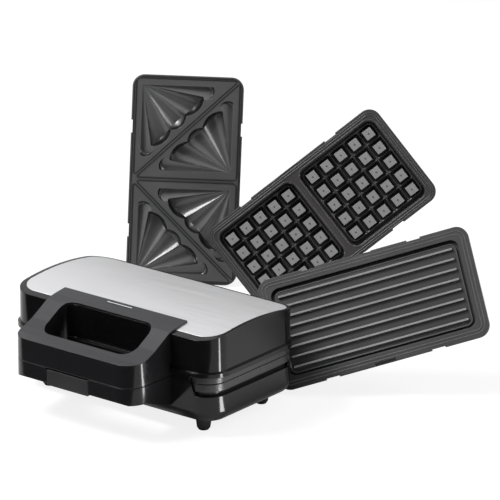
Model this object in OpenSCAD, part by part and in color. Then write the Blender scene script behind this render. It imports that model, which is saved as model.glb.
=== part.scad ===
// Breakfast sandwich maker: a hinged two-plate press with exchangeable
// cooking plates. Millimetres, +Z up. The origin lies on the standing
// plane, under the centre of the housing; the handle points to -Y.

/* [Housing] */
// Width of the housing, left to right
housing_w = 260; // [240:1:300]
// Depth of the housing, without handle and hinge
housing_d = 142; // [134:1:170]
// Corner radius of the housing seen from above
corner_r = 25; // [18:1:34]
// Wall thickness of the mouldings
wall = 2.5; // [1.8:0.1:3.5]
// Height of the underside above the standing plane
floor_gap = 15; // [13:0.5:16]
// Height of the lower housing's edge at the sides
base_rim_z = 43.5; // [42:0.5:45]
// Height of the parting between the two cooking plates
parting_z = 56.5; // [56:0.5:57]
// Height of the joint line of housings and handles at the front
seam_z = 59; // [58.5:0.5:60]
// Height of the upper housing's edge at the sides
lid_rim_z = 64; // [63.5:0.5:65]
// Height of the lid at the top of its crown
crown_z = 109.2; // [108.6:0.1:109.8]
// How far the bead round the upper housing stands out
bead_out = 2.5; // [1:0.1:3]

/* [Handle] */
// Width of the handle
handle_w = 158; // [120:1:170]
// How far the handle stands out from the housing
handle_out = 60; // [50:1:70]
// Corner radius of the handle seen from above
handle_r = 20.5; // [14:0.5:26]
// Width of the finger opening
window_w = 116; // [90:1:120]
// Depth of the front bar of the handle
bar_d = 20; // [16:1:24]
// Height of the handle's underside at the front
handle_bottom_z = 41; // [38:0.5:44]
// Sideways place of the latch and the indicator lens
control_x = -4.2; // [-8:0.1:8]

/* [Latch] */
// Width of the latch lever
latch_w = 52; // [40:1:56]
// Diameter of the latch pin
latch_pin_d = 3; // [2.5:0.1:3.4]

/* [Hinge] */
// Height of the hinge axis
hinge_z = 85; // [83:0.5:87]
// Diameter of the hinge pins
hinge_pin_d = 5; // [4:0.1:6]
// Distance of each hinge from the middle
hinge_x = 72; // [71.5:0.5:73]

/* [Cooking plates] */
// Length of a cooking plate
plate_w = 222; // [216:1:224]
// Width of a cooking plate
plate_d = 118; // [116:1:119]
// Corner radius of a cooking plate
plate_r = 13; // [10:0.5:16]
// Thickness of the flange of a cooking plate
flange_t = 4; // [3:0.5:5]
// Thickness of a cooking plate under its cells
plate_t = 12; // [11:0.5:13]
// Ribs on the grill plate
rib_count = 8; // [6:1:8]
// Waffle studs along each side of a cell
stud_count = 5; // [4:1:5]

/* [Loose plates] */
// Turn of the standing sandwich and waffle plates about the vertical
stand_turn = 39; // [34:0.5:44]
// Backward lean of the sandwich and waffle plates
stand_lean = 12; // [8:0.5:20]
// Turn of the standing grill plate about the vertical
grill_turn = 22.5; // [18:0.5:24]
// Backward lean of the grill plate
grill_lean = 33; // [30:0.5:34]

/* [Hidden] */
$fn = 64;
black = [0.05, 0.05, 0.055];
satin = [0.25, 0.25, 0.26];
coat = [0.2, 0.2, 0.205];
steel = [0.72, 0.72, 0.74];
fit = 0.4;                                  // gap between mouldings
front_y = -housing_d / 2;
handle_y = front_y - handle_out;
bottom_r = 12;                              // rounding of the bottom edge
handle_t = 3;                               // wall of the handle halves
root_z = floor_gap + 12.5;                  // underside of the handle at the housing
meet_w = 103;                               // half width where the housings meet
groove_h = 5;                               // groove under the lower frame's band
band_in = 1.2;                              // band set back from the wall
neck_in = wall + 3;                         // frame below the band
bead_h = 4.5;
neck_z = base_rim_z - groove_h;              // underside of the lower frame
panel_in = 4;                               // border of the lid beside the panel
panel_y = [front_y + 8.5, -front_y - 4];    // front and rear edge of the panel
panel_t = 0.8;
crown_r = 320;
crown_y = -5;
flap_y = front_y + 26;                      // rear edge of the handle's flap
lens_y = flap_y - 5;
lamp_z = 88;
recess_z = 68.8;                            // sill of the finger recess
recess_y = front_y + 5;                     // back wall of the finger recess
hinge_y = -front_y + 9;
post_w = 18;                                // width of a hinge post
post_d = 14.5;
latch_pin_y = handle_y + 8;
latch_pin_z = handle_bottom_z + 10;
screw_x = 68;                               // handle screws, and their heights
lower_screw_z = [33, 44];
upper_screw_z = [72, 88];
post_screw_z = [31, 40];                    // screws of hinge posts and ears
ear_screw_z = [76, 94];
screw_d = 3;
pilot_d = 2.6;
clear_d = 3.4;
head_h = 2.2;
boss_x = 115;                               // screws that hold the frames
boss_y = 30;
boss_d = 9;
tray_post_x = 78;                           // posts that hold the reflectors
tray_post_y = 38;
foot_x = 100;
foot_y = 46;
inlet_x = 30;
inlet_z = 34;
face_gap = 0.4;                             // parting to a fitted plate's face
block_in = 5;                               // flange that overhangs the cell block
cell_gap = 9;                               // web between the two cells of a plate
cell_w = (plate_w - 19 - cell_gap) / 2;
cell_d = plate_d - 19;
fan_side = 0.66 * plate_d;                  // straight side of a fan pocket
fan_reach = 0.51 * plate_d;                 // fan's corner to its ends, square to the web
fan_edge = 10.8;                            // plate edge to a fan's corner
fan_web = 9.6;                              // plate middle to a fan's corner
catch_y = -plate_d / 2 - 3.2;               // front face of a catch
catch_room = 3.6;                           // room for its spring and its travel
tray_h = 9;
tray_z = parting_z - face_gap - plate_t - 0.6;  // rim of the lower reflector
lid_tray = 2 * parting_z - tray_z;          // rim of the upper reflector
element_d = 6.5;
element_x = [-plate_w / 2 + 49, plate_w / 2 - 47];  // ends of the straight runs
element_y = 34;                             // straight runs, and the two ends
end_x = element_x[0] - 22;
end_y = 12;
wire_z = floor_gap + wall + 6;

// ---- shared shapes -------------------------------------------------------

// Rounded rectangle about the origin, made of true arcs.
module round_rect(w, d, r) {
    square([w - 2 * r, d], center = true);
    square([w, d - 2 * r], center = true);
    for (sx = [-1, 1], sy = [-1, 1])
        translate([sx * (w / 2 - r), sy * (d / 2 - r)]) circle(r);
}

// Upright slab with the housing's outline, set in by inset.
module slab(inset, z0, z1) {
    translate([0, 0, z0]) linear_extrude(z1 - z0)
        round_rect(housing_w - 2 * inset, housing_d - 2 * inset, corner_r - inset);
}

// Right half of a tub's section, with a rounded lower corner.
module tub_section(half, z0, z1, r) {
    translate([0, z0 + r]) square([half, z1 - z0 - r]);
    translate([0, z0]) square([half - r, z1 - z0]);
    translate([half - r, z0 + r]) intersection() {
        circle(r);
        translate([0, -r]) square(r);
    }
}

// Tub with the housing's outline and a bottom edge rounded all the way round.
module tub(inset, z0, z1, r) {
    w = housing_w / 2 - inset;
    d = housing_d / 2 - inset;
    turn = corner_r - inset;
    for (s = [0, 1]) mirror([s, 0, 0]) {
        rotate([90, 0, 0]) linear_extrude(2 * (d - turn), center = true)
            tub_section(w, z0, z1, r);
        for (t = [0, 1]) mirror([0, t, 0]) {
            rotate([90, 0, 90]) linear_extrude(w - turn) tub_section(d, z0, z1, r);
            translate([w - turn, d - turn, 0]) rotate_extrude(angle = 90)
                tub_section(turn, z0, z1, r);
        }
    }
}

// Everything under the crowned lid surface, lowered by drop.
module under_crown(drop = 0) {
    translate([0, crown_y, crown_z - crown_r - drop]) rotate([0, 90, 0])
        cylinder(r = crown_r, h = 400, center = true, $fn = 240);
}

module rod(d, h, pos, dir = [0, 0, 0]) {
    translate(pos) rotate(dir) cylinder(d = d, h = h, $fn = 24);
}

module at_corners(x, y) {
    for (sx = [-1, 1], sy = [-1, 1]) translate([sx * x, sy * y, 0]) children();
}

// Screw along +Z, its head under the origin.
module screw(length) {
    translate([0, 0, -head_h]) cylinder(d = 2 * screw_d, h = head_h, $fn = 24);
    translate([0, 0, -0.1]) cylinder(d = screw_d, h = length + 0.1, $fn = 24);
}

// ---- cooking plates, cooking face up at z = 0 ----------------------------

// Plate blank: flange, cell block and the steps in the long edges.
module plate_blank() {
    difference() {
        union() {
            translate([0, 0, -flange_t]) linear_extrude(flange_t)
                round_rect(plate_w, plate_d, plate_r);
            translate([0, 0, -plate_t]) linear_extrude(plate_t - 1)
                round_rect(plate_w - 2 * block_in, plate_d - 2 * block_in, plate_r - 4);
        }
        for (side = [-1, 1]) {
            // catch seats in the middle and clip gaps beside them
            translate([-11, side * plate_d / 2 - 2.5, -2.4]) cube([22, 5, 5]);
            for (end = [-1, 1])
                translate([end * plate_w / 4 - 7, side * plate_d / 2 - 1.5, -6])
                    cube([14, 3, 8]);
        }
    }
}

// One flute of a fan pocket: a cone that leaves the corner at the angle turn,
// spread degrees to either side and dipping by dip, up to a ball. The ball
// touches the line of the ends at slide from its middle.
module flute(turn, spread, dip, ball_r, slide, ball_z) {
    rise = (pow(spread, 2) - pow(dip, 2)) / (2 * dip);
    run = 90;
    far = fan_reach - ball_r;
    middle = [(far + slide) / sqrt(2), (far - slide) / sqrt(2)];
    stop = middle[0] * cos(turn) + middle[1] * sin(turn) - 1.2;
    intersection() {
        rotate([0, 0, turn]) rotate([0, 90 - rise, 0])
            cylinder(r1 = 0.6, r2 = 0.6 + run * tan(rise + dip), h = run, $fn = 48);
        union() {
            translate([middle[0], middle[1], ball_z])
                sphere(sqrt(pow(ball_r, 2) + pow(ball_z, 2)), $fn = 48);
            rotate([0, 0, turn]) translate([-5, -40, -20]) cube([stop + 5, 80, 40]);
        }
    }
}

// One fluted corner pocket with its right angle at the origin: three whole
// flutes, and a half one along either straight side.
module fan_cutter() {
    intersection() {
        union() {
            flute(45, 13, 8.5, 0.259 * fan_reach, 0, 5);
            for (s = [0, 1]) mirror([s, -s, 0]) {
                flute(22.5, 13, 8.5, 0.345 * fan_reach, 0.395 * fan_reach, 5);
                flute(0, 10.6, 3.6, 0.151 * fan_reach, 0.731 * fan_reach, 3);
            }
        }
        translate([0, 0, -20]) cube([fan_side + 3, fan_side + 3, 40]);
    }
}

// The two fans of one cell, either side of its diagonal; x = 0 is the web.
module fan_pair() {
    translate([fan_web, -plate_d / 2 + fan_edge, 0]) fan_cutter();
    translate([plate_w / 2 - fan_edge, plate_d / 2 - fan_edge, 0])
        rotate([0, 0, 180]) fan_cutter();
}

module fan_cells() {
    fan_pair();
    mirror([1, 0, 0]) fan_pair();
}

module shell_plate() {
    difference() {
        plate_blank();
        fan_cells();
    }
}

// Waffle plate: two sunken cells with rows of square studs.
module waffle_face() {
    sunk = 8.5;
    step = (cell_w + cell_gap) / 2;
    pitch = (cell_d - 7) / stud_count;
    difference() {
        plate_blank();
        for (s = [-1, 1]) translate([s * step, 0, -sunk])
            linear_extrude(20) round_rect(cell_w, cell_d, 9);
    }
    for (s = [-1, 1], i = [0 : stud_count - 1], j = [0 : stud_count - 1]) {
        x = s * step + (i - (stud_count - 1) / 2) * pitch;
        y = (j - (stud_count - 1) / 2) * pitch;
        translate([x, y, -sunk - 0.5]) rotate([0, 0, 45])
            cylinder(d1 = 0.78 * pitch * sqrt(2), d2 = 0.56 * pitch * sqrt(2), h = sunk, $fn = 4);
    }
}

// Grill plate: one sunken bed with long ribs and a drip channel round it.
module grill_face() {
    bed_w = plate_w - 32;
    bed_d = plate_d - 32;
    pitch = bed_d / rib_count;
    difference() {
        plate_blank();
        translate([0, 0, -3]) linear_extrude(10) round_rect(bed_w + 8, bed_d + 8, 9);
        translate([0, 0, -5.5]) linear_extrude(10) difference() {
            round_rect(bed_w + 8, bed_d + 8, 9);
            round_rect(bed_w + 1, bed_d + 1, 6);
        }
    }
    for (i = [0 : rib_count - 1])
        translate([-bed_w / 2 + 3, (i - (rib_count - 1) / 2) * pitch - 1.5, -3.5])
            cube([bed_w - 6, 3, 3.3]);
}

// Height of a standing plate's middle, when its lowest corner is on the floor.
function stand_height(roll, lean) = plate_t * sin(lean) + cos(lean) * (plate_r
    + (plate_w / 2 - plate_r) * abs(sin(roll)) + (plate_d / 2 - plate_r) * abs(cos(roll)));

module stand(x, y, turn, lean, roll) {
    translate([x, y, stand_height(roll, lean)])
        rotate([0, 0, turn]) rotate([90 - lean, 0, 0]) rotate([0, 0, roll]) children();
}

module sandwich_plate() color(coat) stand(-189.5, 281.5, stand_turn, stand_lean, 87.6) shell_plate();
module waffle_plate() color(coat) stand(-13.5, 292, stand_turn, stand_lean, 37.7) waffle_face();
module grill_plate() color(coat) stand(158, 153.5, grill_turn, grill_lean, 21.4) grill_face();

// ---- base ----------------------------------------------------------------

// Cutter that leaves the front wall standing only where the housings meet.
module rim_cut_base() {
    translate([-200, front_y + 12, base_rim_z]) cube([400, 200, 60]);
    for (s = [0, 1]) mirror([s, 0, 0]) translate([0, front_y + 12.01, 0]) rotate([90, 0, 0])
        linear_extrude(30) polygon([[meet_w, seam_z + 9], [meet_w, seam_z - 1],
            [meet_w + 6, base_rim_z], [200, base_rim_z], [200, seam_z + 9]]);
}

module lower_housing() color(black) difference() {
    union() {
        difference() {
            tub(0, floor_gap, seam_z - fit / 2, bottom_r);
            tub(wall, floor_gap + wall, seam_z + 1, bottom_r - wall);
            rim_cut_base();
        }
        // screw bosses for the frame and posts under the reflector
        at_corners(boss_x, boss_y) rod(boss_d, neck_z - floor_gap - 1.5, [0, 0, floor_gap + 1]);
        at_corners(tray_post_x, tray_post_y)
            rod(8, tray_z - tray_h - floor_gap - 1, [0, 0, floor_gap + 1]);
    }
    at_corners(boss_x, boss_y) {
        rod(clear_d, 60, [0, 0, floor_gap - 1]);
        rod(8, head_h + 1.2, [0, 0, floor_gap - 1]);
    }
    // foot sockets, cord inlet, handle screws and hinge post screws
    at_corners(foot_x, foot_y) rod(8, 20, [0, 0, floor_gap - 1]);
    rod(14, 20, [inlet_x, -front_y - 10, inlet_z], [-90, 0, 0]);
    for (s = [-1, 1], z = lower_screw_z)
        rod(clear_d, 20, [s * screw_x, front_y - 5, z], [-90, 0, 0]);
    for (s = [-1, 1], z = post_screw_z)
        rod(clear_d, 20, [s * hinge_x, -front_y - 10, z], [-90, 0, 0]);
}

module rubber_feet() color([0.08, 0.08, 0.08]) at_corners(foot_x, foot_y) union() {
    translate([0, 0, 2.5]) cylinder(d1 = 13.5, d2 = 17, h = floor_gap - 2.5);
    cylinder(d1 = 10, d2 = 13.5, h = 2.5);
    rod(7.8, 4.5, [0, 0, floor_gap - 0.01]);
    translate([0, 0, floor_gap + wall]) cylinder(d1 = 10, d2 = 7, h = 2.5);
}

// Handle ring seen from above, set in by inset.
module handle_outline(inset = 0) {
    half = handle_w / 2;
    translate([-half + inset, handle_y + handle_r])
        square([2 * (half - inset), handle_out - handle_r]);
    translate([-half + handle_r, handle_y + inset])
        square([2 * (half - handle_r), 2 * handle_r]);
    for (s = [-1, 1]) translate([s * (half - handle_r), handle_y + handle_r])
        circle(handle_r - inset);
}

// Finger opening, reaching back to y1, grown by grow.
module window_outline(y1, grow = 0) {
    depth = y1 - (handle_y + bar_d);
    translate([0, handle_y + bar_d + depth / 2])
        round_rect(window_w + 2 * grow, depth + 2 * grow, 15 + grow);
}

// Side profile of the lower handle, its underside raised by inset.
module lower_profile(inset = 0) {
    polygon([[front_y, root_z + inset], [front_y, seam_z - 0.3], [handle_y, seam_z - 0.3],
        [handle_y, handle_bottom_z + 2 + inset], [handle_y + 4, handle_bottom_z + inset],
        [handle_y + bar_d, handle_bottom_z + inset]]);
}

// Room inside a handle half, seen from above: walls all round it and round
// the finger opening, which reaches back to y1, and a wall at the housing.
module handle_room(y1) {
    difference() {
        handle_outline(handle_t);
        window_outline(y1, handle_t);
        translate([-handle_w / 2, front_y - 4]) square([handle_w, 30]);
    }
}

// Bosses in the handle for the screws that come through the housing's wall.
module handle_bosses(heights) {
    for (s = [-1, 1], z = heights) rod(8, 12, [s * screw_x, front_y - 12, z], [-90, 0, 0]);
}

module handle_pilots(heights) {
    for (s = [-1, 1], z = heights) rod(pilot_d, 15, [s * screw_x, front_y - 14, z], [-90, 0, 0]);
}

module lower_handle() color(black) difference() {
    union() {
        difference() {
            intersection() {
                translate([0, 0, 10]) linear_extrude(60) difference() {
                    handle_outline();
                    window_outline(front_y + 25);
                }
                rotate([90, 0, 90]) linear_extrude(handle_w + 2, center = true) lower_profile();
            }
            // hollow, open at the joint line
            difference() {
                intersection() {
                    translate([0, 0, 10]) linear_extrude(60) handle_room(front_y + 25);
                    rotate([90, 0, 90]) linear_extrude(handle_w, center = true)
                        translate([0, 0.01]) lower_profile(handle_t);
                }
                handle_bosses(lower_screw_z);
            }
        }
        // lugs of the latch pin
        for (s = [-1, 1]) translate([control_x + s * (latch_w / 2 + 2.9) - 2.5, handle_y + 2,
            handle_bottom_z + 2]) cube([5, 10, 12]);
    }
    // bay of the latch
    translate([control_x - latch_w / 2 - fit, handle_y - 1, handle_bottom_z - 5])
        cube([latch_w + 2 * fit, 4.6, 40]);
    rod(latch_pin_d, latch_w + 8, [control_x - latch_w / 2 - 4, latch_pin_y, latch_pin_z],
        [0, 90, 0]);
    handle_pilots(lower_screw_z);
}

// Frame that carries a cooking plate: a band outside, a pocket inside.
// Drawn face up at z = 0, band_h high, with a neck of neck_h under it.
module plate_frame(band_h, neck_h) {
    difference() {
        union() {
            difference() {
                slab(band_in, -band_h, 0);
                // set back behind the front wall, where the housings meet
                translate([-meet_w - 5.5, front_y - 1, -band_h - 1])
                    cube([2 * meet_w + 11, wall + 1.5, band_h + 2]);
            }
            slab(neck_in, -band_h - neck_h, -band_h + 0.5);
        }
        // pocket for the flange and opening for the cell block
        translate([0, 0, -flange_t - 0.4]) linear_extrude(20)
            round_rect(plate_w + 1, plate_d + 1, plate_r + 0.5);
        translate([0, 0, -40]) linear_extrude(60)
            round_rect(plate_w - 2 * block_in + 1.2, plate_d - 2 * block_in + 1.2, plate_r - 3);
        // slideway of the catch
        translate([-10.4, catch_y - catch_room, -5.8]) cube([20.8, 8, 10]);
        translate([-3, catch_y - catch_room, -14]) cube([6, 7, 20]);
    }
    // fixed hooks over the rear edge of the plate
    for (end = [-1, 1]) translate([end * plate_w / 4 - 6, plate_d / 2 - 1.1, -flange_t - 0.4])
        cube([12, 2.6, flange_t + 0.3]);
}

module lower_frame() color(black) difference() {
    face_up() plate_frame(parting_z - face_gap - base_rim_z - groove_h, groove_h + 5);
    at_corners(boss_x, boss_y) rod(pilot_d, 22, [0, 0, base_rim_z - 13]);
}

// From the drawing of a plate to the two cooking positions.
module face_up() translate([0, 0, parting_z - face_gap]) children();
module face_down() translate([0, 0, parting_z + face_gap]) mirror([0, 0, 1]) children();

// Sliding catch at the front edge of a plate, drawn face up at z = 0: a
// slider, the hook over the flange and the finger tab below.
module catch_slider() {
    translate([-10, catch_y, -5.4]) cube([20, 2.4, 5]);
    translate([-10, catch_y, -1.9]) cube([20, 5, 1.5]);
    translate([-2.4, catch_y, -9]) cube([4.8, 2.2, 4]);
}

// Spring drawn as rings that a thinner wire links, from z = 0 to length.
module coil(d, wire, length, turns) {
    for (i = [0 : turns - 1])
        translate([0, 0, wire / 2 + i * (length - wire) / (turns - 1)])
            rotate_extrude($fn = 24) translate([(d - wire) / 2, 0]) circle(wire / 2, $fn = 16);
    rod(0.7 * wire, length - wire, [(d - wire) / 2, 0, wire / 2]);
}

module catch_spring() {
    translate([0, catch_y - catch_room + 0.1, -3.6]) rotate([-90, 0, 0])
        coil(3.6, 0.4, catch_room - 0.2, 3);
}

module lower_catch() color(satin) face_up() catch_slider();
module lower_catch_spring() color(steel) face_up() catch_spring();
module lower_plate() color(coat) face_up() shell_plate();

// Reflector tray that fills the frame's opening, drawn face up, its rim at z = 0.
module reflector_tray() {
    w = plate_w - 2 * block_in + 0.8;
    d = plate_d - 2 * block_in + 0.8;
    r = plate_r - 3.2;
    t = 0.8;
    difference() {
        translate([0, 0, -tray_h]) linear_extrude(tray_h) round_rect(w, d, r);
        translate([0, 0, -tray_h + t]) linear_extrude(tray_h)
            round_rect(w - 2 * t, d - 2 * t, r - t);
        for (s = [-1, 1]) rod(9, tray_h, [end_x, s * end_y, -tray_h - 1]);
    }
}

// Tubular element: a loop whose two ends bend down at the left.
module element_loop() {
    for (s = [0, 1]) mirror([0, s, 0]) {
        rod(element_d, element_x[1] - element_x[0], [element_x[0], element_y, 0], [0, 90, 0]);
        translate([element_x[1], 0, 0]) rotate_extrude(angle = 90)
            translate([element_y, 0]) circle(d = element_d, $fn = 24);
        translate([element_x[0], end_y, 0]) rotate([0, 0, 90]) rotate_extrude(angle = 90)
            translate([element_y - end_y, 0]) circle(d = element_d, $fn = 24);
        translate([end_x, end_y, 0]) sphere(d = element_d, $fn = 24);
        rod(element_d, 14, [end_x, end_y, 0], [0, 180, 0]);
        rod(screw_d, 6, [end_x, end_y, -13], [0, 180, 0]);
    }
}

// Bridges that hold the element on the tray, drawn like the tray.
module element_clips() {
    for (x = [-40, 0, 40], s = [-1, 1]) translate([x - 4, s * element_y - 8, 0.8 - tray_h])
        difference() {
            cube([8, 16, 4.6]);
            rod(element_d + 0.1, 20, [-1, 8, tray_h - 0.8 - element_d / 2 - 0.2], [0, 90, 0]);
        }
}

module on_lower_tray() translate([0, 0, tray_z]) children();
module on_upper_tray() translate([0, 0, lid_tray]) mirror([0, 0, 1]) children();
module element_seat() translate([0, 0, -element_d / 2 - 0.2]) children();

module lower_reflector() color(steel) on_lower_tray() reflector_tray();
module lower_element() color([0.35, 0.36, 0.35]) on_lower_tray() element_seat() element_loop();
module lower_element_clips() color(steel) on_lower_tray() element_clips();

module terminal_block() color([0.85, 0.83, 0.75]) translate([-60, 22, floor_gap + wall])
    difference() {
        cube([30, 16, 11]);
        for (i = [0 : 2]) rod(3, 20, [6 + 9 * i, -1, 6], [-90, 0, 0]);
    }

module thermal_fuse() color([0.8, 0.78, 0.7]) {
    rod(4, 22, [-20, 0, floor_gap + wall + 2], [0, 90, 0]);
    rod(1.2, 34, [-26, 0, floor_gap + wall + 2], [0, 90, 0]);
}

// Insulated leads through a list of points.
module lead(points, d = 2.4) {
    for (i = [0 : len(points) - 2]) {
        run = points[i + 1] - points[i];
        flat = norm([run[0], run[1]]);
        translate(points[i]) rotate([0, atan2(flat, run[2]), atan2(run[1], run[0])])
            cylinder(d = d, h = norm(run), $fn = 16);
        translate(points[i]) sphere(d = d + 0.4, $fn = 16);
    }
}

// On the floor of the base: from the inlet to the terminals, and from these
// to just short of the element's pins.
module base_wiring() color([0.7, 0.7, 0.68]) {
    for (i = [0 : 2]) {
        x = inlet_x - 3 + 3 * i;
        y = 62 - 4.3 * i;
        lead([[-54 + 9 * i, 39.6, wire_z], [-54 + 9 * i, y, wire_z], [x, y, wire_z],
              [x, 64, wire_z + 7]]);
    }
    lead([[-54, 20.4, wire_z], [-54, end_y, wire_z], [end_x + 4, end_y, wire_z]]);
    lead([[-45, 20.4, wire_z], [-45, -end_y, wire_z], [end_x + 4, -end_y, wire_z]]);
}

module cord_inlet() color(black) translate([inlet_x, -front_y, inlet_z]) rotate([90, 0, 0])
    difference() {
        union() {
            translate([0, 0, -3]) cylinder(d = 18, h = 3);
            translate([0, 0, -0.5]) cylinder(d = 13.6, h = wall + 2.5);
            translate([0, 0, wall + 0.2]) cylinder(d = 17, h = 2);
        }
        translate([0, 0, -5]) cylinder(d = 7, h = 20);
    }

// Posts at the back of the base with forked heads that carry the hinge pins.
module hinge_posts() color(black) for (s = [-1, 1]) translate([s * hinge_x, 0, 0])
    difference() {
        union() {
            rotate([90, 0, 90]) linear_extrude(post_w, center = true)
                polygon([[-front_y, 27.5], [-front_y + post_d - 4, 27.5],
                    [-front_y + post_d - 4, 60], [-front_y + post_d, 76],
                    [-front_y + post_d, hinge_z], [-front_y, hinge_z]]);
            rod(11, post_w, [-post_w / 2, hinge_y, hinge_z], [0, 90, 0]);
        }
        // room for the lid, and the slot between the cheeks
        translate([-post_w, -front_y - 1, base_rim_z + 14]) cube([2 * post_w, 4.2, 60]);
        translate([-4.2, -front_y - 1, hinge_z - 9]) cube([8.4, 30, 30]);
        rod(hinge_pin_d, 2 * post_w, [-post_w, hinge_y, hinge_z], [0, 90, 0]);
        for (z = post_screw_z) rod(pilot_d, 10, [0, -front_y - 1, z], [-90, 0, 0]);
    }

module hinge_pins() color(steel) for (s = [-1, 1])
    rod(hinge_pin_d, post_w, [s * hinge_x - post_w / 2, hinge_y, hinge_z], [0, 90, 0]);

module base_screws() color(steel) {
    at_corners(boss_x, boss_y) translate([0, 0, floor_gap + head_h + 0.2])
        screw(base_rim_z + 3.2 - floor_gap - head_h);
    for (s = [-1, 1], z = lower_screw_z) translate([s * screw_x, front_y + wall, z])
        rotate([90, 0, 0]) screw(13);
    for (s = [-1, 1], z = post_screw_z) translate([s * hinge_x, -front_y - wall, z])
        rotate([-90, 0, 0]) screw(9);
}

// ---- latch ---------------------------------------------------------------

// Lever with a front plate, a hub on the pin and an arm whose nose reaches
// for the ledge in the upper handle.
module latch() color(satin) difference() {
    union() {
        translate([control_x - latch_w / 2, handle_y, handle_bottom_z])
            cube([latch_w, 3, seam_z - 1.8 - handle_bottom_z]);
        translate([control_x - 16, handle_y + 2, latch_pin_z - 3.5]) cube([32, 6, 7]);
        rod(7, 32, [control_x - 16, latch_pin_y, latch_pin_z], [0, 90, 0]);
        translate([control_x - 14, latch_pin_y - 1.5, latch_pin_z]) cube([28, 3.2, 15]);
        translate([control_x - 14, latch_pin_y - 3, latch_pin_z + 12.6]) cube([28, 2, 2.4]);
    }
    rod(latch_pin_d + 0.1, latch_w + 8, [control_x - latch_w / 2 - 4, latch_pin_y, latch_pin_z],
        [0, 90, 0]);
}

module latch_pin() color(steel)
    rod(latch_pin_d, latch_w + 8, [control_x - latch_w / 2 - 4, latch_pin_y, latch_pin_z],
        [0, 90, 0]);

// Between the latch's arm and the rear wall of the bar.
module latch_spring() color(steel) {
    y0 = latch_pin_y + 1.8;
    y1 = handle_y + bar_d - handle_t - 0.1;
    translate([control_x, y0, latch_pin_z + 5.3]) rotate([-90, 0, 0]) coil(4, 0.6, y1 - y0, 5);
}

// ---- lid -----------------------------------------------------------------

module panel_outline(grow = 0) {
    translate([0, (panel_y[0] + panel_y[1]) / 2])
        round_rect(housing_w - 2 * panel_in + 2 * grow, panel_y[1] - panel_y[0] + 2 * grow,
            corner_r - panel_in + grow);
}

// Slot for the indicator lens through handle, lid and panel.
module lens_slot() translate([control_x - 16.2, lens_y - 2, 90]) cube([32.4, 3.8, 40]);

module upper_housing() color(black) difference() {
    union() {
        difference() {
            intersection() {
                union() {
                    slab(0, lid_rim_z, crown_z + 5);
                    // apron where the housings meet at the front
                    translate([0, 0, seam_z + fit / 2]) linear_extrude(10) intersection() {
                        round_rect(housing_w, housing_d, corner_r);
                        translate([-meet_w, front_y - 1]) square([2 * meet_w, wall + 1]);
                    }
                    slab(-bead_out, lid_rim_z, lid_rim_z + bead_h);
                }
                under_crown();
            }
            difference() {
                intersection() {
                    slab(wall, lid_rim_z - 1, crown_z + 5);
                    under_crown(wall + panel_t);
                }
                // walls of the finger recess, screw bosses, posts of the
                // reflector and posts of the lamp holder
                translate([0, 0, recess_z - wall]) linear_extrude(60)
                    window_outline(recess_y, wall);
                at_corners(boss_x, boss_y) rod(boss_d, 60, [0, 0, lid_rim_z + 9.2]);
                at_corners(tray_post_x, tray_post_y) rod(8, 60, [0, 0, lid_tray + tray_h]);
                for (s = [-1, 1]) rod(5, 60, [control_x + 21 * s, lens_y, lamp_z + 1.6]);
            }
        }
        for (s = [-1, 1]) rod(2.4, 4, [control_x + 21 * s, lens_y, lamp_z - 1]);
    }
    translate([0, 0, recess_z]) linear_extrude(60) window_outline(recess_y);
    // bead left out behind the handle
    translate([-handle_w / 2 - 0.3, front_y - 10, lid_rim_z - 1])
        cube([handle_w + 0.6, 10, 8]);
    // seat of the top panel
    difference() {
        translate([0, 0, 90]) linear_extrude(40) panel_outline(fit);
        under_crown(panel_t + 0.2);
    }
    lens_slot();
    // frame screws, hinge ear screws and handle screws
    at_corners(boss_x, boss_y) rod(pilot_d, 20, [0, 0, lid_rim_z + 3]);
    for (s = [-1, 1], z = ear_screw_z)
        rod(clear_d, 20, [s * hinge_x, -front_y - 10, z], [-90, 0, 0]);
    for (s = [-1, 1], z = upper_screw_z)
        rod(clear_d, 20, [s * screw_x, front_y - 5, z], [-90, 0, 0]);
}

module top_panel() color([0.8, 0.8, 0.81]) difference() {
    intersection() {
        translate([0, 0, 90]) linear_extrude(40) panel_outline();
        under_crown();
    }
    under_crown(panel_t);
    lens_slot();
    translate([0, 0, 90]) linear_extrude(40) window_outline(recess_y, 0.3);
}

// Side profile of the upper handle: a flap on the lid, sloping arms, a bar.
module upper_profile(drop = 0) {
    polygon([[flap_y, 90], [flap_y, 108.7 - drop], [front_y + 10, 106.7 - drop],
        [front_y - 1, 104.4 - drop], [front_y - 12, 98 - drop], [front_y - 24.5, 91 - drop],
        [front_y - 36.5, 86 - drop], [front_y - 47, 83.6 - drop], [handle_y, 82.8 - drop],
        [handle_y, seam_z + 0.3], [front_y, seam_z + 0.3], [front_y, 90]]);
}

module upper_handle() color(black) difference() {
    union() {
        difference() {
            intersection() {
                translate([0, 0, 50]) linear_extrude(70) difference() {
                    union() {
                        handle_outline();
                        translate([-handle_w / 2, front_y - 1])
                            square([handle_w, flap_y - front_y + 2]);
                    }
                    window_outline(recess_y);
                }
                rotate([90, 0, 90]) linear_extrude(handle_w + 2, center = true)
                    upper_profile();
            }
            // seat on the lid
            intersection() {
                under_crown(-fit);
                translate([-200, front_y, 60]) cube([400, 60, 60]);
            }
            // hollow, open at the joint line
            difference() {
                intersection() {
                    translate([0, 0, 50]) linear_extrude(70) handle_room(recess_y);
                    rotate([90, 0, 90]) linear_extrude(handle_w, center = true)
                        translate([0, -0.1]) upper_profile(handle_t);
                }
                handle_bosses(upper_screw_z);
            }
        }
        // ledge for the latch's nose
        translate([control_x - 15, handle_y + 2, seam_z + 0.5]) cube([30, 2.7, 3.5]);
    }
    lens_slot();
    handle_pilots(upper_screw_z);
}

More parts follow.
